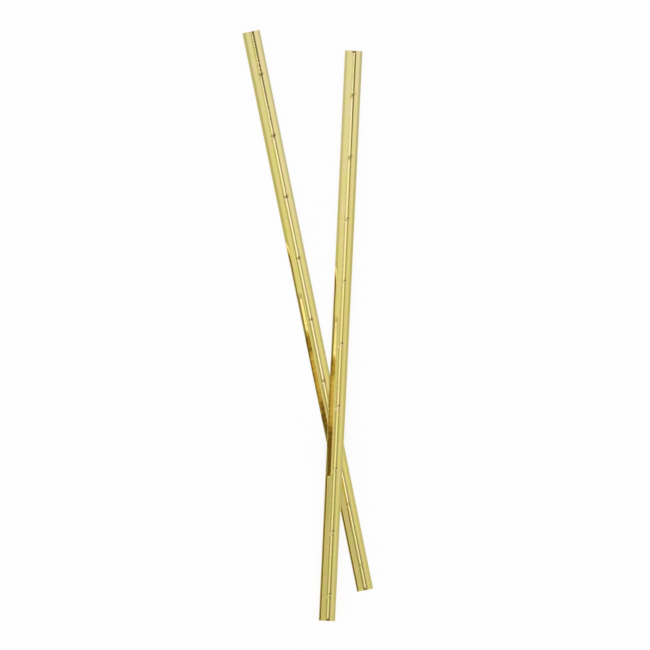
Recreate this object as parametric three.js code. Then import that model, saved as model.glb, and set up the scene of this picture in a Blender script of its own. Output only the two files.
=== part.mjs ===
// A pair of metallic twist ties, one lying across the other.
// Each tie is a steel wire held between two gold foil films that are bonded face to face.
// Millimetres, +Z up, +Y towards the ends of the ties that lie furthest apart.
// The origin is under the middle of the pair, on the surface that the pair lies on.
import * as THREE from "three";

// Sizes of one tie
const tieLength = 127;
const slitWidth = 3.91;
const wireDiameter = 0.45;
const filmThickness = 0.07;
const bondThickness = 0.05;
const bondCover = 0.03;
const layerClearance = 0.01;

// The ridge over the wire
const ridgeSlack = 0.05;
const ridgeFootReach = 0.07;
const ridgeShift = 0.15;
const backFlatWidth = 0.24;

// The nips that pinch the front film down on the wire
const firstNip = 9.78;
const nipPitch = 13.95;
const nipWidth = 0.56;
const nipEndMargin = 2;
const nipSkewAngle = THREE.MathUtils.degToRad(45);
const nipSteps = [-0.5, -0.28, -0.1, 0.1, 0.28, 0.5];

// The wings fall away from the ridge, a little more at the bottom end than at the top end. Both
// slits wander inwards by these amounts on the way down.
const lipWidth = 0.5;
const leftWingTop = [1, 1.5, 3.5];
const leftWingBottom = [4, 5, 8];
const rightWingTop = [2, 4, 10];
const rightWingBottom = [3, 5, 10.5];
const leftSlitWander = 0.165;
const rightSlitWander = 0.14;

// The knife squeezes the tie at both cut ends
const cutSqueeze = 0.3;
const cutSqueezeLength = 0.55;

// How the two ties lie: each crossing distance is measured from that tie's top end
const lowerTurn = THREE.MathUtils.degToRad(11.54);
const upperTurn = THREE.MathUtils.degToRad(-2.71);
const lowerCrossing = 93.7;
const upperCrossing = 87.65;
const restClearance = 0.03;

// How finely curves are drawn
const wireSides = 12;
const bodySteps = 9;

// Worked out from the sizes above
const wireRadius = wireDiameter / 2;
const coverRadius = wireRadius + layerClearance + bondCover;
const filmOffset = bondThickness / 2 + layerClearance + filmThickness / 2;
const tightRadius = coverRadius + layerClearance + filmThickness / 2;
const slackRadius = tightRadius + ridgeSlack;
const ridgeHalfWidth = slackRadius + ridgeFootReach;
const nipCount = 1 + Math.floor((tieLength - firstNip - nipEndMargin) / nipPitch);

const goldFilm = { color: 0xd8c97e, metalness: 1, roughness: 0.28 };
const steelWire = { color: 0x8f8d88, metalness: 1, roughness: 0.45 };
const clearBond = { color: 0xd9c58a, metalness: 0, roughness: 0.5 };

// The slope at which a film leaves the ridge foot to lie tangent on a crown of this radius
function flankSlope(radius) {
  const footDistance = Math.hypot(ridgeHalfWidth, filmOffset);
  return Math.asin(radius / footDistance) - Math.atan2(filmOffset, ridgeHalfWidth);
}

// One wing of the bond line in a cross section, from the ridge foot out to the slit edge.
// The wing falls in three straight runs: an inner half, an outer half and a rolled lip.
function wingLine(along, hand) {
  const atTop = hand < 0 ? leftWingTop : rightWingTop;
  const atBottom = hand < 0 ? leftWingBottom : rightWingBottom;
  const wander = hand < 0 ? leftSlitWander : rightSlitWander;
  const length = slitWidth / 2 - hand * ridgeShift - ridgeHalfWidth - wander * along;
  const halfRun = (length - lipWidth) / 2;
  const runs = [halfRun, halfRun, lipWidth];
  const points = [new THREE.Vector2(hand * ridgeHalfWidth, 0)];
  runs.forEach((run, i) => {
    const slope = THREE.MathUtils.degToRad(THREE.MathUtils.lerp(atTop[i], atBottom[i], along));
    const step = new THREE.Vector2(hand * run * Math.cos(slope), -run * Math.sin(slope));
    points.push(points[i].clone().add(step));
  });
  return points;
}

// The same line moved sideways by a distance, with mitred corners. Positive is to the left of
// the way the line runs.
function offsetLine(line, distance) {
  return line.map((point, i) => {
    const before = line[Math.max(i - 1, 0)];
    const after = line[Math.min(i + 1, line.length - 1)];
    const into = i > 0 ? point.clone().sub(before) : after.clone().sub(point);
    const out = i < line.length - 1 ? after.clone().sub(point) : into.clone();
    into.normalize();
    out.normalize();
    const bisector = into.clone().add(out).normalize();
    const stretch = distance / bisector.dot(into);
    return new THREE.Vector2(point.x - bisector.y * stretch, point.y + bisector.x * stretch);
  });
}

// The points of a film's centre line over the ridge, left to right, with the ridge upwards
function frontCrown(radius) {
  const slope = flankSlope(radius);
  return [-1, -0.5, 0, 0.5, 1].map(
    (share) => new THREE.Vector2(radius * Math.sin(share * slope), radius * Math.cos(share * slope)),
  );
}

function backCrown(radius) {
  return [-1, 1].map((hand) => new THREE.Vector2((hand * backFlatWidth) / 2, radius));
}

// A film's centre line across the whole tie, left to right. side is 1 at the front, -1 at the back.
function filmLine(along, side, crown) {
  const left = wingLine(along, -1).reverse();
  const right = wingLine(along, 1);
  const leftFilm = offsetLine(left, side * filmOffset);
  const rightFilm = offsetLine(right, side * filmOffset);
  const ridge = crown.map((point) => new THREE.Vector2(point.x, side * point.y));
  return [...leftFilm, ...ridge, ...rightFilm];
}

function frontLine(along, radius) {
  return filmLine(along, 1, frontCrown(radius));
}

function backLine(along) {
  return filmLine(along, -1, backCrown(tightRadius));
}

// A closed outline between an upper and a lower line that both run left to right
function outlineBetween(upper, lower) {
  return [...lower, ...upper.slice().reverse()];
}

function filmOutline(line) {
  return outlineBetween(offsetLine(line, filmThickness / 2), offsetLine(line, -filmThickness / 2));
}

function bondOutline(along) {
  const toFilm = filmThickness / 2 + layerClearance;
  return outlineBetween(
    offsetLine(frontLine(along, tightRadius), -toFilm),
    offsetLine(backLine(along), toFilm),
  );
}

function circleOutline(radius) {
  return Array.from({ length: wireSides }, (_, i) => {
    const turn = (2 * Math.PI * i) / wireSides;
    return new THREE.Vector2(radius * Math.cos(turn), radius * Math.sin(turn));
  });
}

// Where a piece is cut across: its distance from the top end, how far it has gone along the tie,
// how much the knife squeezes it there and how much the section is skewed to run along a nip
function station(distance, skew = 0, pinch = 0) {
  const toCut = Math.min(distance, tieLength - distance);
  const squeeze = cutSqueeze * Math.max(0, 1 - toCut / cutSqueezeLength);
  return { distance, along: distance / tieLength, squeeze, skew, pinch };
}

function plainStations() {
  const last = tieLength - cutSqueezeLength;
  const body = Array.from({ length: bodySteps + 1 }, (_, i) =>
    THREE.MathUtils.lerp(cutSqueezeLength, last, i / bodySteps),
  );
  return [0, ...body, tieLength].map((distance) => station(distance));
}

function nipStations() {
  const stations = [station(0), station(cutSqueezeLength)];
  for (let nip = 0; nip < nipCount; nip += 1) {
    const centre = firstNip + nip * nipPitch;
    for (const step of nipSteps) {
      const pinch = Math.cos(Math.PI * step) ** 2;
      stations.push(station(centre + step * nipWidth, Math.tan(nipSkewAngle), pinch));
    }
  }
  stations.push(station(tieLength - cutSqueezeLength), station(tieLength));
  return stations;
}

// Puts a flat outline in its place along the tie. The skew carries the front of the ridge along
// the nip, and the squeeze presses down what lies above the wire's centre.
function placeOutline(outline, at) {
  return outline.map((point) => {
    const reach = THREE.MathUtils.clamp(point.x, -ridgeHalfWidth, ridgeHalfWidth);
    const height = point.y > 0 ? point.y * (1 - at.squeeze) : point.y;
    const y = tieLength / 2 - at.distance + reach * at.skew;
    return new THREE.Vector3(point.x + ridgeShift, y, height);
  });
}

// A closed solid through a row of outlines that all have the same number of points. A bore through
// it is a second row of outlines.
function loft(outlines, bores = []) {
  const positions = [];
  const faces = [];
  const addWall = (rings, inwards) => {
    const first = positions.length / 3;
    const count = rings[0].length;
    rings.flat().forEach((point) => positions.push(point.x, point.y, point.z));
    for (let ring = 0; ring < rings.length - 1; ring += 1) {
      for (let i = 0; i < count; i += 1) {
        const a = first + ring * count + i;
        const b = first + ring * count + ((i + 1) % count);
        const quad = inwards ? [b, a, a + count, b + count] : [a, b, b + count, a + count];
        faces.push(quad[0], quad[1], quad[2], quad[0], quad[2], quad[3]);
      }
    }
    return (ring) => rings[ring].map((_, i) => first + ring * count + i);
  };
  const walls = [addWall(outlines, false)];
  if (bores.length > 0) {
    walls.push(addWall(bores, true));
  }
  const flatten = (ring) => ring.map((point) => new THREE.Vector2(point.x, point.z));
  [0, outlines.length - 1].forEach((ring) => {
    const contour = flatten(outlines[ring]);
    const holes = bores.length > 0 ? [flatten(bores[ring])] : [];
    const corners = [...contour, ...holes.flat()];
    const indices = walls.flatMap((wall) => wall(ring));
    for (const face of THREE.ShapeUtils.triangulateShape(contour, holes)) {
      const turnsLeft = THREE.ShapeUtils.area(face.map((i) => corners[i])) > 0;
      const ordered = turnsLeft === (ring === 0) ? face.slice().reverse() : face;
      faces.push(...ordered.map((i) => indices[i]));
    }
  });
  const geometry = new THREE.BufferGeometry();
  geometry.setAttribute("position", new THREE.Float32BufferAttribute(positions, 3));
  geometry.setIndex(faces);
  geometry.computeVertexNormals();
  return geometry;
}

function frontFilmGeometry() {
  return loft(
    nipStations().map((at) => {
      const radius = slackRadius - ridgeSlack * at.pinch;
      return placeOutline(filmOutline(frontLine(at.along, radius)), at);
    }),
  );
}

function backFilmGeometry() {
  return loft(plainStations().map((at) => placeOutline(filmOutline(backLine(at.along)), at)));
}

function bondGeometry() {
  const stations = plainStations();
  const bore = circleOutline(wireRadius + layerClearance);
  return loft(
    stations.map((at) => placeOutline(bondOutline(at.along), at)),
    stations.map((at) => placeOutline(bore, at)),
  );
}

function wireGeometry() {
  return loft(plainStations().map((at) => placeOutline(circleOutline(wireRadius), at)));
}

function piece(name, geometry, look) {
  const mesh = new THREE.Mesh(geometry, new THREE.MeshStandardMaterial(look));
  mesh.name = name;
  return mesh;
}

// One whole tie, lying on the plane z = 0 with its middle over the origin
function twistTie(name) {
  const tie = new THREE.Group();
  tie.add(
    piece(name + "_front_film", frontFilmGeometry(), goldFilm),
    piece(name + "_adhesive", bondGeometry(), clearBond),
    piece(name + "_wire", wireGeometry(), steelWire),
    piece(name + "_back_film", backFilmGeometry(), goldFilm),
  );
  tie.position.z = -new THREE.Box3().setFromObject(tie).min.z;
  return tie;
}

// Turns a tie about the point where it crosses the other one, tipped so that its top end stays down
function laidAcross(tie, crossing, turn, lean) {
  const tipped = new THREE.Group();
  tipped.add(tie);
  tipped.rotation.x = -lean;
  tipped.position.y = crossing - tieLength / 2;
  tipped.position.z = (tieLength / 2) * Math.sin(lean);
  const turned = new THREE.Group();
  turned.add(tipped);
  turned.rotation.z = turn;
  return turned;
}

// The upper tie stands with its top end on the surface and leans on the ridge of the lower one,
// which comes under it first at its slit edge
function leanOver(lowerTie) {
  const lowerHeight = new THREE.Box3().setFromObject(lowerTie).max.z;
  const firstTouch = upperCrossing - slitWidth / 2 / Math.sin(lowerTurn - upperTurn);
  return Math.asin((lowerHeight + restClearance) / firstTouch);
}

const lowerTie = twistTie("lower_tie");
const upperTie = twistTie("upper_tie");
const pair = new THREE.Group();
pair.add(laidAcross(lowerTie, lowerCrossing, lowerTurn, 0));
pair.add(laidAcross(upperTie, upperCrossing, upperTurn, leanOver(lowerTie)));

// Centres the pair over the origin and lets it down on the plane z = 0
const pairBox = new THREE.Box3().setFromObject(pair, true);
const pairMiddle = pairBox.getCenter(new THREE.Vector3());
pair.position.set(-pairMiddle.x, -pairMiddle.y, -pairBox.min.z);

const group = new THREE.Group();
group.add(pair);

export default group;
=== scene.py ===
import math

import bpy
import numpy as np
from mathutils import Matrix, Vector


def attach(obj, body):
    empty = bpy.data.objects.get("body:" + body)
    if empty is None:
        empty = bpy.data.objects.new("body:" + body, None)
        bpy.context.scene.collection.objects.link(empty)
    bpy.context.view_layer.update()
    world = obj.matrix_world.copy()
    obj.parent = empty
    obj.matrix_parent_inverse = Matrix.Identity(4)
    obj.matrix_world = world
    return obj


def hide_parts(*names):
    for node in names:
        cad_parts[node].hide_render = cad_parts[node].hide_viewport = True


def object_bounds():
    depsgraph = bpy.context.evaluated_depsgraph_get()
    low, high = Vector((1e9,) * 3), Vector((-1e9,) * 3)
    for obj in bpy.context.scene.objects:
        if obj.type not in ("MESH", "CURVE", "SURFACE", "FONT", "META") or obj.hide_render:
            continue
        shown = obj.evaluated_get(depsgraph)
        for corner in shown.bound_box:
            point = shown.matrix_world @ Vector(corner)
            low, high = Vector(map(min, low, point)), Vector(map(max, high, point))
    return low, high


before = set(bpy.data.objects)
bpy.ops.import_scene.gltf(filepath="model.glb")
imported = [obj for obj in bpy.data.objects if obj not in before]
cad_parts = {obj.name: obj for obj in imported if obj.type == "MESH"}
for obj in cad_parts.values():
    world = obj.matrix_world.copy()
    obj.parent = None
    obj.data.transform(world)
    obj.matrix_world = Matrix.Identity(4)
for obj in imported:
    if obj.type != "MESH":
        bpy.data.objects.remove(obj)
CAD_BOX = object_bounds()

MM = 0.001
TIES = ("lower_tie", "upper_tie")

# Section of a tie, in millimetres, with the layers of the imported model
SLIT_WIDTH = 3.91
WIRE_RADIUS = 0.225
FILM = 0.07
BOND = 0.05
GAP = 0.01
BOND_COVER = 0.03
RIDGE_SLACK = 0.05
BACK_FLAT = 0.24
BORE_RADIUS = WIRE_RADIUS + GAP
SLEEVE_RADIUS = BORE_RADIUS + BOND_COVER
FILM_OFFSET = BOND / 2 + GAP + FILM / 2
TIGHT_RADIUS = SLEEVE_RADIUS + GAP + FILM / 2
RIDGE_TOP = TIGHT_RADIUS + RIDGE_SLACK

# The front film stands over the wire like a tent with a round top. The sizes are for the left
# side (-1) and the right side (1), slopes are in degrees, and shoulders are given at shares of
# the length. The ridge lies a little to the right of the tie's middle.
RIDGE_SHIFT = 0.10
APEX_WIDTH = 0.014
APEX_SLOPE = 11.8
FLANK_SLOPE = {-1: 36.3, 1: 35.9}
FOOT_BEND = {-1: 0.07, 1: 0.04}
SHOULDER = {
    -1: ((0, 1), (0.13, 0.13)),
    1: ((0.03, 0.08, 0.14, 0.25, 0.45, 1), (0.16, 0.19, 0.28, 0.36, 0.33, 0.33)),
}
# How far the wire wanders to the right of its straight line, at shares of the length
WIRE_WANDER = ((0, 0.14, 0.25, 0.45, 0.60, 0.72, 1), (0.05, 0.0, -0.01, 0.035, 0.045, 0.015, 0.01))

# The wings at shares of the length: slopes in degrees of the inner part, the outer part and the
# slit edge, how far the bend to the outer part and the lip lie from the slit edge, how the lip
# rolls, and how much narrower the wing is than at the top end
LEFT_WING = {
    "inner": ((0, 0.40, 0.60, 0.72, 0.85, 1), (0.8, 1.4, 2.0, 2.9, 2.9, 3.3)),
    "outer": (
        (0, 0.463, 0.478, 0.530, 0.546, 0.568, 0.582, 0.650, 0.670, 0.747, 0.749, 0.80, 0.84, 1),
        (1.2, 1.6, 5.0, 5.3, 6.55, 6.6, 6.1, 6.3, 7.0, 7.1, 4.5, 4.0, 3.3, 3.0),
    ),
    "edge": (
        (0, 0.37, 0.42, 0.535, 0.555, 0.61, 0.68, 0.70, 0.75, 0.80, 1),
        (3.8, 3.9, 10.0, 10.0, 6.85, 7.0, 6.6, 8.4, 8.4, 9.0, 9.3),
    ),
    "bend": ((0, 0.46, 0.53, 0.56, 0.66, 0.75, 1), (1.2, 1.25, 1.25, 1.25, 1.28, 1.28, 1.2)),
    "lip": ((0, 0.38, 0.46, 0.54, 0.68, 0.80, 1), (0.7, 0.7, 0.62, 0.5, 0.5, 0.57, 0.55)),
    "roll": ((0, 0.38, 0.44, 0.70, 0.76, 1), (0.25, 0.25, 0.55, 0.55, 0.35, 0.35)),
    "narrower": ((0, 1), (0, 0.175)),
}
RIGHT_WING = {
    "inner": ((0, 1), (2.0, 3.0)),
    "outer": ((0, 0.45, 1), (4.2, 4.6, 4.6)),
    "edge": ((0, 0.45, 0.75, 1), (9.2, 9.0, 7.8, 7.4)),
    "bend": ((0, 1), (1.1, 1.2)),
    "lip": ((0, 1), (0.6, 0.7)),
    "roll": ((0, 1), (0.5, 0.5)),
    "narrower": ((0, 0.6, 0.9, 1), (0, 0.01, 0.10, 0.11)),
}
BEND_WIDTH = 0.45
# Outside the ridge's foot the wing comes down to its inner slope over a short way
FOOT_EASE = {-1: 0.0, 1: 3.5}
FOOT_EASE_WIDTH = 0.3

# How many short straight runs make each part of a section
APEX_RUNS = 4
SHOULDER_RUNS = 10
FLANK_RUNS = 6
FOOT_RUNS = 8
BACK_FLAT_RUNS = 3
WING_RUNS = 16
LIP_RUNS = 12
LIP_CROWDING = 1.5
ROUND_SIDES = 32

# Steps along the front film, which are fine near the nips and cuts, and stations of plain pieces
FINE_STEP = 0.04
PLAIN_STEP = 0.12
LEAST_STEP = 0.02
NEAR_NIP = 0.9
CUT_STATIONS = 9
CUT_CROWDING = 1.5
PLAIN_STATIONS = 240

# The cut ends: how much the shear presses the ridge down and over what length, the wings' share
# of that and where across the tie it sets in, and how far the wire's ends are pinched
CUT_SQUEEZE = 0.32
CUT_LENGTH = 0.55
CUT_CURVE = 1.15
WING_SQUEEZE = 0.4
WING_SPAN = (0.45, 0.75)
WIRE_PINCH = 0.03
WIRE_PINCH_LENGTH = 0.12
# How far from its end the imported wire's points belong to its cut face
END_BAND = 0.15

# The nips along the tie: their places, depth, half width on the crest and on the flank, and their
# strength on the crest at distances from the top end, which chance lowers a little
FIRST_NIP = 9.78
NIP_PITCH = 13.95
NIP_COUNT = 9
NIP_DEPTH = 0.056
NIP_REACH = 0.34
FLANK_NIP_REACH = 0.44
NIP_STRENGTH = ((9, 24, 38, 60, 121), (1.0, 0.9, 0.7, 0.6, 0.5))
STRENGTH_RANGE = (0.9, 1.0)
# Across the tie, to the right of the wire: where a nip starts, ends and is slanted, where the
# flank starts, and the middle and width of the crest
NIP_START = (-0.5, -0.3)
NIP_END = (0.82, 0.52)
SLANT_SPAN = (-0.55, 0.25)
FLANK_START = (0.15, 0.45)
CREST = (-0.02, 0.17)
# The film gathered on the crest after a nip: its height and how far it reaches
GATHER = 0.04
GATHER_REACH = 0.2
# The swelling at the nips of the lower half: its height, the distances from the top end over
# which it sets in, and its middle and width along and across the tie
SWELL = 0.03
SWELL_START = (75.0, 90.0)
SWELL_ALONG = (0.1, 0.22)
SWELL_ACROSS = (0.12, 0.14)
# The crease that a nip sends into the left wing: its least and greatest depth, its slant, and
# its middle and width along and across the tie
CREASE_DEPTH = (0.001, 0.006)
CREASE_SLANT = 0.9
CREASE_ALONG = (0.35, 0.16)
CREASE_ACROSS = (-0.85, 0.35)

# Beads of loose film on the crest before the first nip: their middle and width across the tie,
# where they fade and what is left of them after that, the waves that make their steps uneven, as
# share, length and start, and how much and how fast their depth changes
PUCKER_PITCH = 0.71
PUCKER_DEPTH = 0.03
PUCKER_SHARPNESS = 3
PUCKER_ACROSS = (-0.02, 0.14)
PUCKER_FADE = (FIRST_NIP + 1.5, FIRST_NIP - 1.5)
PUCKER_REST = 0.05
PACE_WAVES = ((0.25, 1.9, 0), (0.2, 0.83, 2))
UNEVEN_PART = 0.25
UNEVEN_RATE = 2.3
UNEVEN_SHIFT = 4

# Waves of the whole film: how many, shortest and longest pitch, steepest lean, height, and height
# for each millimetre of pitch
WAVES = ((12, 1.5, 14.0, 0.12, 0.0, 0.00006), (10, 0.9, 4.5, 0.25, 0.0005, 0.0))
PHASE_RANGE = (0, 6.28)
SEED = 7

# The floor: half its side and its drop below the part in metres, its grey, and the share of its
# white that it glows by itself, so that shadows stay faint
FLOOR_HALF = 1.5
FLOOR_DROP = 0.00002
FLOOR_GREY = 0.32
FLOOR_WHITE = 0.806

# The materials: colours at values of a noise from 0 to 1, and the least and greatest roughness
FOIL_TONES = [(0.3, (0.695, 0.635, 0.14)), (0.7, (0.775, 0.60, 0.20))]
FOIL_ROUGHNESS = (0.03, 0.07)
ADHESIVE_TONES = [(0, (0.55, 0.42, 0.17)), (1, (0.80, 0.68, 0.40))]
WIRE_TONES = [(0, (0.30, 0.29, 0.28)), (1, (0.52, 0.51, 0.49))]
WIRE_ROUGHNESS = (0.3, 0.5)
NOISE_DETAIL = 3.0

# The photograph's framing: millimetres across the frame, and its middle in the part's frame
FRAME_WIDTH = 144.64
FRAME_MIDDLE = (3.91, 0.053)
LENS = 150.0

# The studio is a tent whose colour depends on direction alone. Its top changes with x from -1 to
# 1 and has two lamps, which change with y, and its sides change with y.
OVERHEAD = [
    (-0.360, (0.45, 0.45, 0.44)),
    (-0.275, (0.41, 0.40, 0.34)),
    (-0.262, (0.14, 0.09, 0.02)),
    (-0.234, (0.19, 0.12, 0.025)),
    (-0.226, (0.56, 0.38, 0.10)),
    (-0.206, (0.84, 0.64, 0.28)),
    (-0.199, (0.66, 0.52, 0.26)),
    (-0.193, (1.40, 1.36, 1.40)),
    (-0.170, (1.36, 1.33, 1.38)),
    (-0.163, (0.64, 0.68, 0.61)),
    (-0.120, (0.65, 0.68, 0.62)),
    (-0.112, (0.79, 0.785, 0.74)),
    (-0.092, (0.80, 0.79, 0.76)),
    (-0.070, (0.98, 1.0, 0.96)),
    (0.03, (1.01, 1.0, 0.98)),
    (0.16, (1.02, 1.01, 0.98)),
    (0.23, (0.76, 0.79, 0.84)),
    (0.31, (0.60, 0.63, 0.66)),
]
LAMPS = [
    (-0.20, (1.15, 1.15, 1.20)),
    (0.05, (1.48, 1.51, 1.72)),
    (0.12, (1.50, 1.53, 1.78)),
]
LEFT_SIDE = [
    (-0.30, (0.46, 0.44, 0.36)),
    (-0.21, (0.56, 0.54, 0.44)),
    (-0.14, (0.74, 0.73, 0.64)),
    (-0.09, (0.95, 0.95, 0.98)),
    (-0.06, (0.48, 0.46, 0.38)),
    (0.02, (0.58, 0.56, 0.46)),
    (0.09, (0.75, 0.74, 0.65)),
    (0.14, (0.95, 0.95, 0.98)),
    (0.40, (0.24, 0.23, 0.17)),
]
RIGHT_SIDE = [
    (-0.27, (0.18, 0.16, 0.10)),
    (-0.20, (0.28, 0.26, 0.19)),
    (-0.12, (0.40, 0.38, 0.30)),
    (-0.085, (0.53, 0.51, 0.42)),
    (-0.01, (0.55, 0.53, 0.43)),
    (0.01, (0.52, 0.50, 0.41)),
    (0.035, (0.38, 0.36, 0.28)),
    (0.06, (0.25, 0.23, 0.16)),
    (0.11, (0.40, 0.38, 0.30)),
    (0.145, (0.53, 0.51, 0.42)),
    (0.22, (0.55, 0.53, 0.43)),
    (0.24, (0.52, 0.50, 0.41)),
    (0.265, (0.38, 0.36, 0.28)),
    (0.29, (0.25, 0.23, 0.16)),
    (0.40, (0.18, 0.16, 0.10)),
]
# The dark end panels, and the tent beyond what the photograph shows reflected
ENDS = (0.28, 0.25, 0.15, 1)
FAR_ENDS = (0.62, 0.58, 0.46, 1)
# Tints towards the top and the bottom of the photograph, and no tint
TOP_TINT = (1.03, 1.06, 1.56, 1)
BOTTOM_TINT = (0.92, 0.94, 1.0, 1)
WHITE = (1, 1, 1, 1)
# Where each part of the tent starts and is full: in x, in y, in degrees from straight up and in
# degrees above the horizon
LAMPS_IN_X = (0.336, 0.406)
SIDES_IN_X = (-0.3, 0.3)
ENDS_IN_Y = (0.205, 0.25)
FAR_ENDS_IN_Y = (0.50, 0.72)
TOP_IN_Y = (0.02, 0.11)
BOTTOM_IN_Y = (-0.03, -0.11)
OVERHEAD_FROM_TOP = (67, 37)
TENT_ABOVE_HORIZON = (8, 11)


def smoothstep(x):
    x = np.clip(x, 0.0, 1.0)
    return x * x * (3 - 2 * x)


def rise(x, ends):
    """A smooth rise from 0 at the first end to 1 at the second."""
    start, full = ends
    return smoothstep((x - start) / (full - start))


def bump(x, shape):
    """A round bump of height 1, with its middle and width."""
    middle, width = shape
    return np.exp(-(((x - middle) / width) ** 2))


def wire_end(points, direction):
    """The middle of the wire's cut face at one end. The cut has pressed its upper half down."""
    reach = points @ np.array(direction)
    face = points[reach > reach.max() - END_BAND * MM]
    middle = np.unique(face.round(7), axis=0).mean(0)
    middle[2] = face[:, 2].min() + WIRE_RADIUS * MM
    return Vector(middle)


def tie_matrix(tie):
    """The tie's own frame and its length.

    The origin is the middle of its wire, with x across, y to its top end and z out of its front.
    """
    points = np.array([v.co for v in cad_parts[tie + "_wire"].data.vertices])
    top, bottom = wire_end(points, (0, 1, 0)), wire_end(points, (0, -1, 0))
    along = (top - bottom).normalized()
    across = along.cross(Vector((0, 0, 1))).normalized()
    out = across.cross(along)
    turn = Matrix((across, along, out)).transposed().to_4x4()
    return Matrix.Translation((top + bottom) / 2) @ turn, (top - bottom).length / MM


def wire_wander(share):
    return np.interp(share, *WIRE_WANDER)


def run_middles(stations, runs):
    """The middles of equal runs as shares of their whole, the same for each station."""
    return np.tile((np.arange(runs) + 0.5) / runs, (stations, 1))


def ridge_runs(share, hand):
    """Lengths and slopes of the front film's short runs from the top of the ridge to its foot.

    The apex turns fast and the shoulder slowly. The straight flank is as long as it takes to come
    down to the bond line.
    """
    stations = len(share)
    shoulder = np.interp(share, *SHOULDER[hand])[:, None]
    flank_slope = math.radians(FLANK_SLOPE[hand])
    apex_slope = math.radians(APEX_SLOPE)
    runs = [
        np.full((stations, APEX_RUNS), APEX_WIDTH / APEX_RUNS),
        np.repeat(shoulder / SHOULDER_RUNS, SHOULDER_RUNS, axis=1),
        np.full((stations, FOOT_RUNS), FOOT_BEND[hand] / FOOT_RUNS),
    ]
    slopes = [
        apex_slope * run_middles(stations, APEX_RUNS),
        apex_slope + (flank_slope - apex_slope) * run_middles(stations, SHOULDER_RUNS),
        flank_slope * (1 - run_middles(stations, FOOT_RUNS)),
    ]
    fall = sum((run * np.sin(slope)).sum(1) for run, slope in zip(runs, slopes))
    flank = (RIDGE_TOP - FILM_OFFSET - fall) / math.sin(flank_slope)
    runs.insert(2, np.repeat(flank[:, None] / FLANK_RUNS, FLANK_RUNS, axis=1))
    slopes.insert(2, np.full((stations, FLANK_RUNS), flank_slope))
    return np.hstack(runs), np.hstack(slopes)


def ridge_half(share, hand):
    """How far the ridge's foot lies from its top, across the tie."""
    runs, slopes = ridge_runs(share, hand)
    return (runs * np.cos(slopes)).sum(1)


def back_runs(share, hand):
    """The same as ridge_runs for the back film, which is pressed flat under the wire."""
    out = ridge_half(share, hand)[:, None] - BACK_FLAT / 2
    down = TIGHT_RADIUS - FILM_OFFSET
    flat = np.full((len(share), BACK_FLAT_RUNS), BACK_FLAT / 2 / BACK_FLAT_RUNS)
    sloped = np.repeat(np.hypot(out, down) / FLANK_RUNS, FLANK_RUNS, axis=1)
    slope = np.repeat(np.arctan2(down, out), FLANK_RUNS, axis=1)
    return np.hstack([flat, sloped]), np.hstack([np.zeros(flat.shape), slope])


def wing_profile(share, hand):
    """Lengths and slopes of a wing's short runs, from the ridge foot out, for each station."""
    wing = LEFT_WING if hand < 0 else RIGHT_WING
    at_share = {part: np.interp(share, *stops)[:, None] for part, stops in wing.items()}
    inner, outer, edge = (np.radians(at_share[part]) for part in ("inner", "outer", "edge"))
    lip = at_share["lip"]
    ridge_foot = ridge_half(share, hand) + hand * (RIDGE_SHIFT + wire_wander(share))
    length = SLIT_WIDTH / 2 - ridge_foot[:, None] - at_share["narrower"]
    to_lip = np.linspace(0, 1, WING_RUNS + 1)[None, :]
    over_lip = np.linspace(0, 1, LIP_RUNS + 1)[None, 1:] ** LIP_CROWDING
    marks = np.hstack([length - (length - lip) * to_lip, lip * (1 - over_lip)])
    from_edge = (marks[:, 1:] + marks[:, :-1]) / 2
    bend = smoothstep((at_share["bend"] + BEND_WIDTH / 2 - from_edge) / BEND_WIDTH)
    roll = np.clip(1 - from_edge / lip, 0, 1) ** at_share["roll"]
    ease = np.clip(1 - (length - from_edge) / FOOT_EASE_WIDTH, 0, 1) * math.radians(FOOT_EASE[hand])
    slopes = inner + ease + (outer - inner) * bend + (edge - outer) * roll
    return marks[:, :-1] - marks[:, 1:], slopes


def from_zero(steps):
    """Running sums of the steps of each station, starting with 0."""
    return np.hstack([np.zeros((len(steps), 1)), np.cumsum(steps, axis=1)])


def half_section(share, hand, side):
    """Centre line of one film from the middle of the ridge to the slit edge, and its normals.

    side is 1 for the front film and -1 for the back film.
    """
    ridge_lengths, ridge_slopes = (ridge_runs if side > 0 else back_runs)(share, hand)
    wing_lengths, wing_slopes = wing_profile(share, hand)
    lengths = np.hstack([ridge_lengths, wing_lengths])
    slopes = np.hstack([ridge_slopes, wing_slopes * side])
    height = RIDGE_TOP if side > 0 else TIGHT_RADIUS
    x = hand * from_zero(lengths * np.cos(slopes)) + wire_wander(share)[:, None]
    z = side * (height - from_zero(lengths * np.sin(slopes)))
    top = np.zeros((len(share), 1))
    at_points = np.hstack([top, (slopes[:, 1:] + slopes[:, :-1]) / 2, slopes[:, -1:]])
    return x, z, hand * np.sin(at_points), side * np.cos(at_points)


def full_section(share, side):
    """A film's centre line from the left slit edge to the right one: x, z and both normal parts."""
    left = half_section(share, -1, side)
    right = half_section(share, 1, side)
    return [np.hstack([a[:, :0:-1], b]) for a, b in zip(left, right)]


def cut_squeeze(distance, length):
    """How far the shear has pressed the front down, as a share of its height."""
    to_cut = np.minimum(distance, length - distance)
    return CUT_SQUEEZE * np.clip(1 - to_cut / CUT_LENGTH, 0, 1) ** CUT_CURVE


def pressed(z, squeeze):
    return np.where(z > 0, z * (1 - squeeze), z)


def nip_centres():
    return FIRST_NIP + NIP_PITCH * np.arange(NIP_COUNT)


def film_stations(length):
    """Distances from the top end, close together at the nips and at both cuts."""
    steps = []
    at = 0.0
    while at < length:
        steps.append(at)
        near_nip = np.abs(at - nip_centres()).min() < NEAR_NIP
        near_cut = min(at, length - at) < CUT_LENGTH
        at += FINE_STEP if near_nip or near_cut else PLAIN_STEP
    if length - steps[-1] < LEAST_STEP:
        steps.pop()
    return np.array(steps + [length])


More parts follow.
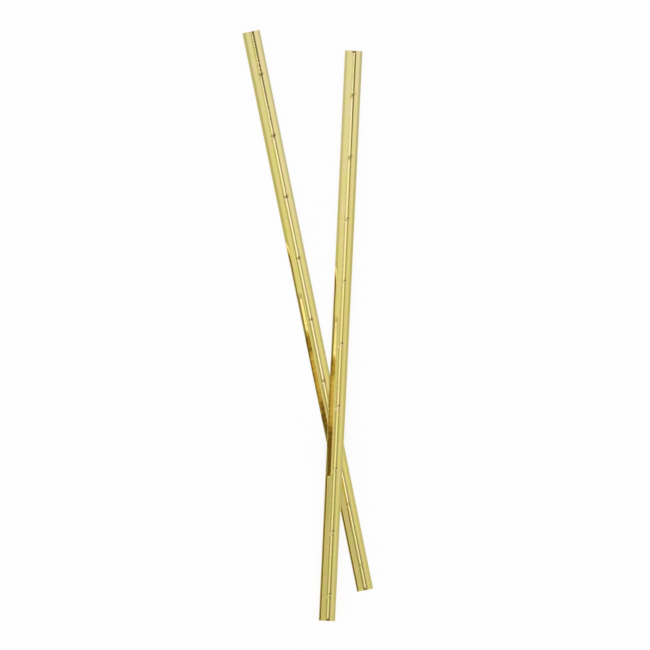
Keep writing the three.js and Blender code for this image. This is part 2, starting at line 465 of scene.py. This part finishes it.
def plain_stations(length):
    """Distances for the pieces without nips: close at both cuts, even between them."""
    near_cut = CUT_LENGTH * np.linspace(0, 1, CUT_STATIONS) ** CUT_CROWDING
    between = np.linspace(CUT_LENGTH, length - CUT_LENGTH, PLAIN_STATIONS)
    return np.concatenate([near_cut[:-1], between, length - near_cut[-2::-1]])


def nips(distance, x):
    """The slanted pinches that press the loose film down on the wire, and what they raise."""
    rng = np.random.default_rng(SEED)
    s = distance[:, None]
    over_ridge = rise(x, NIP_START) * rise(x, NIP_END)
    on_flank = rise(x, FLANK_START)
    slant = np.clip(x, *SLANT_SPAN)
    reach = NIP_REACH + (FLANK_NIP_REACH - NIP_REACH) * on_flank
    gather_shape = (NIP_REACH + GATHER_REACH, GATHER_REACH)
    off = np.zeros(x.shape)
    for centre in nip_centres():
        strength = np.interp(centre, *NIP_STRENGTH) * rng.uniform(*STRENGTH_RANGE)
        strength = strength + (1 - strength) * on_flank
        past = s - centre + slant
        pinch = np.clip(1 - np.abs(past) / reach, 0, 1)
        gather = GATHER * bump(past, gather_shape) * bump(x, CREST)
        off += (gather * strength**3 - NIP_DEPTH * pinch * strength) * over_ridge
        swell = bump(s - centre, SWELL_ALONG) * bump(x, SWELL_ACROSS)
        off += SWELL * rise(centre, SWELL_START) * swell
        crease = bump(s - centre + CREASE_SLANT * x, CREASE_ALONG) * bump(x, CREASE_ACROSS)
        off -= rng.uniform(*CREASE_DEPTH) * crease
    return off


def puckers(distance, x):
    """Small gathers of the loose film on the crest of the ridge, strongest near the top end."""
    rng = np.random.default_rng(SEED + 1)
    pace = 1 + sum(part * np.sin(distance / length + start) for part, length, start in PACE_WAVES)
    turns = np.concatenate([[0], np.cumsum(np.diff(distance) * pace[1:])]) / PUCKER_PITCH
    beads = (0.5 - 0.5 * np.cos(2 * math.pi * turns)) ** PUCKER_SHARPNESS
    fade = PUCKER_REST + (1 - PUCKER_REST) * rise(distance, PUCKER_FADE)
    shift = UNEVEN_SHIFT * rng.random()
    uneven = 1 - UNEVEN_PART + UNEVEN_PART * np.sin(distance * UNEVEN_RATE + shift)
    return -PUCKER_DEPTH * (beads * fade * uneven)[:, None] * bump(x, PUCKER_ACROSS)


def waves(distance, x):
    """Slow unevenness of the whole film."""
    rng = np.random.default_rng(SEED + 2)
    s = distance[:, None]
    off = np.zeros(x.shape)
    for count, shortest, longest, steepest, height, height_by_pitch in WAVES:
        for _ in range(count):
            pitch = rng.uniform(shortest, longest)
            lean = rng.uniform(-steepest, steepest)
            phase = rng.uniform(*PHASE_RANGE)
            size = height + height_by_pitch * pitch
            off += size * np.sin(2 * math.pi * (s / pitch + lean * x) + phase)
    return off


def as_points(x, y, z):
    """Points from grids of x and z, with one y for each row."""
    return np.stack([x, np.broadcast_to(y[:, None], x.shape), z], axis=-1)


def sheet_faces(outer, inner):
    """Points and faces of a closed sheet from two grids of points of the same size."""
    rows, columns = outer.shape[:2]
    points = np.concatenate([outer.reshape(-1, 3), inner.reshape(-1, 3)])
    grid = np.arange(rows * columns).reshape(rows, columns)
    a, b, c, d = grid[:-1, :-1], grid[:-1, 1:], grid[1:, 1:], grid[1:, :-1]
    top = np.stack([a, d, c, b], axis=-1).reshape(-1, 4)
    under = np.stack([a, b, c, d], axis=-1).reshape(-1, 4) + rows * columns
    loop = np.concatenate([grid[0, :-1], grid[:-1, -1], grid[-1, :0:-1], grid[:0:-1, 0]])
    after = np.roll(loop, -1)
    rim = np.stack([loop, after, after + rows * columns, loop + rows * columns], axis=-1)
    return points, np.concatenate([top, under, rim])


def ring_points(y, wander, radius, squeeze):
    turn = 2 * math.pi * np.arange(ROUND_SIDES) / ROUND_SIDES
    radius = np.broadcast_to(radius, (len(y),))[:, None]
    x = wander[:, None] + radius * np.cos(turn)
    z = pressed(radius * np.sin(turn), squeeze[:, None])
    return as_points(x, y, z)


def wrap_faces(rows, start=0):
    """Faces of a tube's wall between rings that run towards -y, facing outwards."""
    grid = start + np.arange(rows * ROUND_SIDES).reshape(rows, ROUND_SIDES)
    after = np.roll(grid, -1, axis=1)
    walls = np.stack([grid[:-1], after[:-1], after[1:], grid[1:]], axis=-1)
    return walls.reshape(-1, 4), grid


def tube_faces(y, wander, outer_radius, inner_radius, squeeze):
    """Points and faces of a closed tube with a bore."""
    outer, inner = (ring_points(y, wander, radius, squeeze) for radius in (outer_radius, inner_radius))
    points = np.concatenate([outer.reshape(-1, 3), inner.reshape(-1, 3)])
    outer_walls, outer_grid = wrap_faces(len(y))
    inner_walls, inner_grid = wrap_faces(len(y), len(y) * ROUND_SIDES)
    faces = [outer_walls, inner_walls[:, ::-1]]
    for row, turned in ((0, 1), (-1, -1)):
        out, into = outer_grid[row], inner_grid[row]
        cap = np.stack([out, into, np.roll(into, -1), np.roll(out, -1)], axis=-1)
        faces.append(cap[:, ::turned])
    return points, np.concatenate(faces)


def rod_faces(distance, length):
    """Points and faces of a solid rod whose cut ends are a little smaller."""
    y = length / 2 - distance
    wander = wire_wander(distance / length)
    to_cut = np.minimum(distance, length - distance)
    radius = WIRE_RADIUS - WIRE_PINCH * np.clip(1 - to_cut / WIRE_PINCH_LENGTH, 0, 1) ** 2
    rings = ring_points(y, wander, radius, cut_squeeze(distance, length))
    walls, grid = wrap_faces(len(y))
    middles = np.array([[wander[0], y[0], 0], [wander[-1], y[-1], 0]])
    faces = [walls]
    for row, middle, turned in ((0, grid.size, 1), (-1, grid.size + 1, -1)):
        ring = grid[row]
        pairs = np.stack([ring[::2], np.roll(ring, -1)[::2], np.roll(ring, -2)[::2]], axis=-1)
        cap = np.hstack([np.full((len(pairs), 1), middle), pairs[:, ::-1]])
        faces.append(cap[:, ::turned])
    return np.concatenate([rings.reshape(-1, 3), middles]), np.concatenate(faces)


def joined_piece(name, bodies, matrix):
    """One object from several closed bodies, in the tie's frame."""
    points, faces, start = [], [], 0
    for body_points, body_faces in bodies:
        points.append(body_points)
        faces.append(body_faces + start)
        start += len(body_points)
    piece = mesh_object(name, np.concatenate(points), np.concatenate(faces))
    piece.matrix_world = matrix
    return piece


def mesh_object(name, points, faces):
    mesh = bpy.data.meshes.new(name)
    mesh.vertices.add(len(points))
    mesh.vertices.foreach_set("co", (points * MM).astype(np.float32).ravel())
    mesh.loops.add(faces.size)
    mesh.loops.foreach_set("vertex_index", faces.astype(np.int32).ravel())
    mesh.polygons.add(len(faces))
    mesh.polygons.foreach_set("loop_start", np.arange(len(faces), dtype=np.int32) * 4)
    mesh.polygons.foreach_set("loop_total", np.full(len(faces), 4, dtype=np.int32))
    mesh.polygons.foreach_set("use_smooth", np.ones(len(faces), dtype=bool))
    mesh.update(calc_edges=True)
    mesh.validate()
    piece = bpy.data.objects.new(name, mesh)
    bpy.context.scene.collection.objects.link(piece)
    return piece


def film_piece(name, tie, side):
    """The front or back film of one tie, as a closed sheet of its real thickness."""
    matrix, length = tie_matrix(tie)
    distance = film_stations(length) if side > 0 else plain_stations(length)
    x, z, normal_x, normal_z = full_section(distance / length, side)
    off = np.zeros(x.shape)
    if side > 0:
        off = nips(distance, x) + puckers(distance, x) + waves(distance, x)
    on_wing = rise(np.abs(x), WING_SPAN)
    squeeze = cut_squeeze(distance, length)[:, None] * (1 - (1 - WING_SQUEEZE) * on_wing)
    y = length / 2 - distance
    faces = []
    for stand in (off + side * FILM / 2, off - side * FILM / 2):
        faces.append(as_points(x + normal_x * stand, y, pressed(z + normal_z * stand, squeeze)))
    return joined_piece(name, [sheet_faces(*faces)], matrix)


def bond_layer(share, y, hand):
    """The adhesive between the films of one wing, from its sleeve round the wire outwards."""
    runs, slopes = wing_profile(share, hand)
    on_wing = from_zero(runs * np.cos(slopes)) + ridge_half(share, hand)[:, None]
    sleeve_end = np.full((len(share), 1), SLEEVE_RADIUS)
    x = hand * np.hstack([sleeve_end, on_wing]) + wire_wander(share)[:, None]
    z = np.hstack([np.zeros((len(share), 1)), -from_zero(runs * np.sin(slopes))])
    faces = [as_points(x, y, z + lift) for lift in (BOND / 2, -BOND / 2)]
    return sheet_faces(*(face[:, ::hand] for face in faces))


def bond_piece(name, tie):
    """The adhesive of one tie: a layer in each wing and a sleeve round the wire."""
    matrix, length = tie_matrix(tie)
    distance = plain_stations(length)
    share = distance / length
    y = length / 2 - distance
    squeeze = cut_squeeze(distance, length)
    layers = [bond_layer(share, y, hand) for hand in (-1, 1)]
    sleeve = tube_faces(y, wire_wander(share), SLEEVE_RADIUS, BORE_RADIUS, squeeze)
    return joined_piece(name, [*layers, sleeve], matrix)


def wire_piece(name, tie):
    """The wire, whose ends are pinched a little by the shear."""
    matrix, length = tie_matrix(tie)
    return joined_piece(name, [rod_faces(plain_stations(length), length)], matrix)


def node(tree, kind, place=(0, 0), **values):
    made = tree.nodes.new(kind)
    made.location = place
    for key, value in values.items():
        setattr(made, key, value)
    return made


def feed(tree, value, socket):
    """Set a socket to a constant, or link it to another node's output."""
    if isinstance(value, bpy.types.NodeSocket):
        tree.links.new(value, socket)
    else:
        socket.default_value = value


def math_node(tree, operation, values, place):
    made = node(tree, "ShaderNodeMath", place, operation=operation)
    for value, socket in zip(values, made.inputs):
        feed(tree, value, socket)
    return made.outputs[0]


def mix_node(tree, share, first, second, place, blend="MIX"):
    """A mix of two colours. Sockets 6, 7 and 2 are the colour ones."""
    made = node(tree, "ShaderNodeMix", place, data_type="RGBA", blend_type=blend)
    feed(tree, share, made.inputs[0])
    feed(tree, first, made.inputs[6])
    feed(tree, second, made.inputs[7])
    return made.outputs[2]


def range_node(tree, value, from_range, to_range, place, kind="LINEAR"):
    made = node(tree, "ShaderNodeMapRange", place, interpolation_type=kind)
    feed(tree, value, made.inputs["Value"])
    made.inputs["From Min"].default_value, made.inputs["From Max"].default_value = from_range
    made.inputs["To Min"].default_value, made.inputs["To Max"].default_value = to_range
    return made.outputs["Result"]


def share_node(tree, value, span, place):
    """A smooth rise from 0 to 1 over the span, or a smooth fall if the span is turned round."""
    start, full = span
    if start < full:
        return range_node(tree, value, (start, full), (0, 1), place, "SMOOTHSTEP")
    return range_node(tree, value, (full, start), (1, 0), place, "SMOOTHSTEP")


def ramp_node(tree, value, stops, place):
    ramp = node(tree, "ShaderNodeValToRGB", place)
    elements = ramp.color_ramp.elements
    while len(elements) < len(stops):
        elements.new(0.5)
    for element, (position, colour) in zip(elements, stops):
        element.position = position
        element.color = (*colour, 1)
    tree.links.new(value, ramp.inputs["Fac"])
    return ramp.outputs["Color"]


def direction_ramp(tree, value, stops, place):
    """A colour ramp of a value from -1 to 1."""
    shifted = range_node(tree, value, (-1, 1), (0, 1), (place[0] - 200, place[1]))
    return ramp_node(tree, shifted, [((x + 1) / 2, colour) for x, colour in stops], place)


def streaky_noise(tree, place, fineness, along):
    """A noise in the piece's own frame, which is drawn out where along is less than 1."""
    coords = node(tree, "ShaderNodeTexCoord", (place[0] - 400, place[1]))
    mapping = node(tree, "ShaderNodeMapping", (place[0] - 200, place[1]))
    mapping.inputs["Scale"].default_value = (1, along, 1)
    noise = node(tree, "ShaderNodeTexNoise", place)
    noise.inputs["Scale"].default_value = fineness
    noise.inputs["Detail"].default_value = NOISE_DETAIL
    tree.links.new(coords.outputs["Object"], mapping.inputs["Vector"])
    tree.links.new(mapping.outputs["Vector"], noise.inputs["Vector"])
    return noise.outputs["Fac"]


def new_material(name):
    material = bpy.data.materials.new(name)
    material.use_nodes = True
    tree = material.node_tree
    tree.nodes.clear()
    out = node(tree, "ShaderNodeOutputMaterial", (600, 0))
    shader = node(tree, "ShaderNodeBsdfPrincipled", (300, 0))
    tree.links.new(shader.outputs["BSDF"], out.inputs["Surface"])
    return material, tree, shader


def gold_foil():
    """Lacquered metallised film with a mottled tone, fine streaks and a faint grain."""
    material, tree, shader = new_material("foil_look")
    mottle = streaky_noise(tree, (-500, 300), fineness=700, along=0.35)
    feed(tree, ramp_node(tree, mottle, FOIL_TONES, (-250, 300)), shader.inputs["Base Color"])
    streaks = streaky_noise(tree, (-500, 0), fineness=5200, along=0.03)
    rough = range_node(tree, streaks, (0, 1), FOIL_ROUGHNESS, (-250, 0))
    feed(tree, rough, shader.inputs["Roughness"])
    grain = streaky_noise(tree, (-500, -300), fineness=9000, along=0.4)
    grain_map = node(tree, "ShaderNodeBump", (-50, -300))
    grain_map.inputs["Strength"].default_value = 0.25
    grain_map.inputs["Distance"].default_value = 0.0000015
    feed(tree, grain, grain_map.inputs["Height"])
    feed(tree, grain_map.outputs["Normal"], shader.inputs["Normal"])
    shader.inputs["Metallic"].default_value = 1.0
    shader.inputs["Coat Weight"].default_value = 1.0
    shader.inputs["Coat Roughness"].default_value = 0.04
    return material


def bond_adhesive():
    """Pale amber laminating adhesive, a little cloudy."""
    material, tree, shader = new_material("adhesive_look")
    cloud = streaky_noise(tree, (-500, 0), fineness=2500, along=0.3)
    feed(tree, ramp_node(tree, cloud, ADHESIVE_TONES, (-250, 0)), shader.inputs["Base Color"])
    shader.inputs["Roughness"].default_value = 0.45
    shader.inputs["Transmission Weight"].default_value = 0.2
    return material


def tie_wire():
    """Dull drawn steel."""
    material, tree, shader = new_material("wire_look")
    drawn = streaky_noise(tree, (-500, 0), fineness=16000, along=0.02)
    feed(tree, ramp_node(tree, drawn, WIRE_TONES, (-250, 150)), shader.inputs["Base Color"])
    rough = range_node(tree, drawn, (0, 1), WIRE_ROUGHNESS, (-250, -150))
    feed(tree, rough, shader.inputs["Roughness"])
    shader.inputs["Metallic"].default_value = 1.0
    return material


def make_floor():
    """A paper floor that takes shadows, and shows its white to the camera and in mirrors."""
    mesh = bpy.data.meshes.new("floor")
    corners = [(x * FLOOR_HALF, y * FLOOR_HALF, 0) for x, y in ((-1, -1), (1, -1), (1, 1), (-1, 1))]
    mesh.from_pydata(corners, [], [(0, 1, 2, 3)])
    floor = bpy.data.objects.new("floor", mesh)
    bpy.context.scene.collection.objects.link(floor)
    floor.location.z = -FLOOR_DROP
    material, tree, shader = new_material("floor_paper")
    shader.inputs["Base Color"].default_value = (FLOOR_GREY, FLOOR_GREY, FLOOR_GREY, 1)
    shader.inputs["Roughness"].default_value = 0.9
    shader.inputs["Specular IOR Level"].default_value = 0.0
    rays = node(tree, "ShaderNodeLightPath", (-600, -200)).outputs
    seen = math_node(tree, "MAXIMUM", (rays["Is Camera Ray"], rays["Is Glossy Ray"]), (-450, -200))
    seen = math_node(tree, "MAXIMUM", (seen, rays["Is Transmission Ray"]), (-300, -200))
    glow = math_node(tree, "MULTIPLY", (seen, FLOOR_WHITE), (-100, -200))
    feed(tree, glow, shader.inputs["Emission Strength"])
    shader.inputs["Emission Color"].default_value = WHITE
    mesh.materials.append(material)


def make_world():
    """A studio tent with a brown card and a softbox high on its left, and darker sides and ends.

    Below the tent the world is plain white, like the floor.
    """
    world = bpy.data.worlds.new("studio")
    bpy.context.scene.world = world
    world.use_nodes = True
    tree = world.node_tree
    tree.nodes.clear()
    coords = node(tree, "ShaderNodeTexCoord", (-1300, 0))
    parts = node(tree, "ShaderNodeSeparateXYZ", (-1100, 0))
    tree.links.new(coords.outputs["Generated"], parts.inputs[0])
    across, along, up = (parts.outputs[axis] for axis in "XYZ")
    sideways = math_node(tree, "ABSOLUTE", (across,), (-500, 450))
    endways = math_node(tree, "ABSOLUTE", (along,), (-500, 300))

    dome = direction_ramp(tree, across, OVERHEAD, (-500, 900))
    lamps = direction_ramp(tree, along, LAMPS, (-500, 600))
    lamp_share = share_node(tree, sideways, LAMPS_IN_X, (-300, 450))
    dome = mix_node(tree, lamp_share, dome, lamps, (-200, 700))
    end_share = share_node(tree, endways, ENDS_IN_Y, (-300, 300))
    dome = mix_node(tree, end_share, dome, ENDS, (-100, 500))

    left_side = direction_ramp(tree, along, LEFT_SIDE, (-500, 0))
    right_side = direction_ramp(tree, along, RIGHT_SIDE, (-500, -250))
    to_right = share_node(tree, across, SIDES_IN_X, (-500, -450))
    rim = mix_node(tree, to_right, left_side, right_side, (-100, 0))
    raised_span = [math.cos(math.radians(angle)) for angle in OVERHEAD_FROM_TOP]
    raised = share_node(tree, up, raised_span, (-500, -650))
    dome = mix_node(tree, raised, rim, dome, (100, 300))

    near_top = share_node(tree, along, TOP_IN_Y, (-500, -850))
    tint = mix_node(tree, near_top, WHITE, TOP_TINT, (-100, -850))
    dome = mix_node(tree, 1.0, dome, tint, (300, 300), "MULTIPLY")
    near_bottom = share_node(tree, along, BOTTOM_IN_Y, (-500, -1050))
    tint = mix_node(tree, near_bottom, WHITE, BOTTOM_TINT, (-100, -1050))
    dome = mix_node(tree, 1.0, dome, tint, (500, 300), "MULTIPLY")

    far_share = share_node(tree, endways, FAR_ENDS_IN_Y, (500, 100))
    dome = mix_node(tree, far_share, dome, FAR_ENDS, (650, 300))
    skirt_span = [math.sin(math.radians(angle)) for angle in TENT_ABOVE_HORIZON]
    in_tent = share_node(tree, up, skirt_span, (-500, -1250))
    dome = mix_node(tree, in_tent, WHITE, dome, (800, 300))
    light = node(tree, "ShaderNodeBackground", (1100, 0))
    out = node(tree, "ShaderNodeOutputWorld", (1400, 0))
    tree.links.new(dome, light.inputs["Color"])
    tree.links.new(light.outputs[0], out.inputs["Surface"])


def make_camera():
    """A camera straight above the pair, with the photograph's framing."""
    data = bpy.data.cameras.new("camera")
    data.lens = LENS
    camera = bpy.data.objects.new("camera", data)
    bpy.context.scene.collection.objects.link(camera)
    lowest, highest = CAD_BOX
    height = FRAME_WIDTH * MM * data.lens / data.sensor_width
    x, y = FRAME_MIDDLE
    camera.location = (x * MM, y * MM, (lowest.z + highest.z) / 2 + height)
    data.clip_start = height / 10
    data.clip_end = height * 10
    bpy.context.scene.camera = camera


def dress(piece, tie, slot, replaced):
    piece.data.materials.clear()
    piece.data.materials.append(LOOKS[slot])
    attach(piece, tie)
    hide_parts(replaced)


make_camera()
make_world()
make_floor()
LOOKS = {"gold_foil": gold_foil(), "bond_adhesive": bond_adhesive(), "tie_wire": tie_wire()}
for tie in TIES:
    front = film_piece(tie + "_front_foil", tie, 1)
    dress(front, tie, "gold_foil", tie + "_front_film")
    back = film_piece(tie + "_back_foil", tie, -1)
    dress(back, tie, "gold_foil", tie + "_back_film")
    bond = bond_piece(tie + "_bond", tie)
    dress(bond, tie, "bond_adhesive", tie + "_adhesive")
    wire = wire_piece(tie + "_core", tie)
    dress(wire, tie, "tie_wire", tie + "_wire")

bpy.context.scene.view_settings.view_transform = "Standard"
